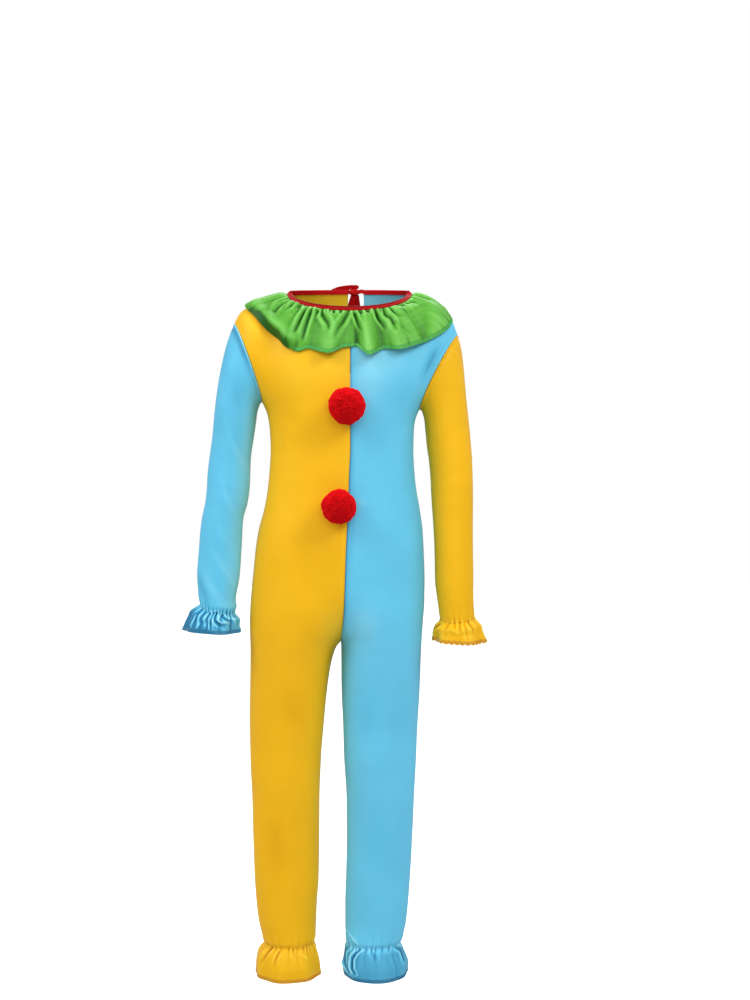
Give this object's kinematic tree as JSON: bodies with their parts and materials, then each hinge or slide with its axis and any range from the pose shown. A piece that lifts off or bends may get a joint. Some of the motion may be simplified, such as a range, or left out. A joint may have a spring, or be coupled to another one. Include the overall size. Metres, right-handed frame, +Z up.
{
  "type": "clown jumpsuit",
  "caption": "One-piece clown suit in quartered colours, filled out and hollow, with a gathered neck ruffle, bound neck with a back tie, pompoms and frilled wrists and ankles.",
  "frame": {"origin": "middle of the neck opening, level with the neck ends of the shoulder seams, where the wearer's shoulders carry it", "axes": "+X to the wearer's left, -Y out of the front, +Z up"},
  "size_m": [0.6573, 0.3068, 1.5056],
  "materials": {
    "yellow_satin_knit": "smooth satin-faced knit, soft sheen",
    "blue_satin_knit": "smooth satin-faced knit, soft sheen",
    "green_satin_knit": "smooth satin-faced knit, soft sheen",
    "red_tape": "folded bias tape, matt",
    "red_yarn": "cut yarn pile",
    "white_elastic": "narrow woven elastic"
  },
  "bodies": {
    "root": {"front_right_chest": "yellow_satin_knit", "front_right_hips": "yellow_satin_knit", "front_right_leg": "yellow_satin_knit", "front_left_chest": "blue_satin_knit", "front_left_hips": "blue_satin_knit", "front_left_leg": "blue_satin_knit", "back_right_chest": "yellow_satin_knit", "back_right_hips": "yellow_satin_knit", "back_right_leg": "yellow_satin_knit", "back_left_chest": "blue_satin_knit", "back_left_hips": "blue_satin_knit", "back_left_leg": "blue_satin_knit", "sleeve_right_upper": "blue_satin_knit", "sleeve_right_lower": "blue_satin_knit", "sleeve_left_upper": "yellow_satin_knit", "sleeve_left_lower": "yellow_satin_knit", "neck_ruffle": "green_satin_knit", "neck_binding": "red_tape", "bow_knot": "red_tape", "bow_loop": "red_tape", "tail_right": "red_tape", "tail_left": "red_tape", "pompom_upper": "red_yarn", "pompom_lower": "red_yarn", "elastic_ankle_right": "white_elastic", "elastic_ankle_left": "white_elastic", "elastic_wrist_right": "white_elastic", "elastic_wrist_left": "white_elastic"}
  },
  "joints": []
}
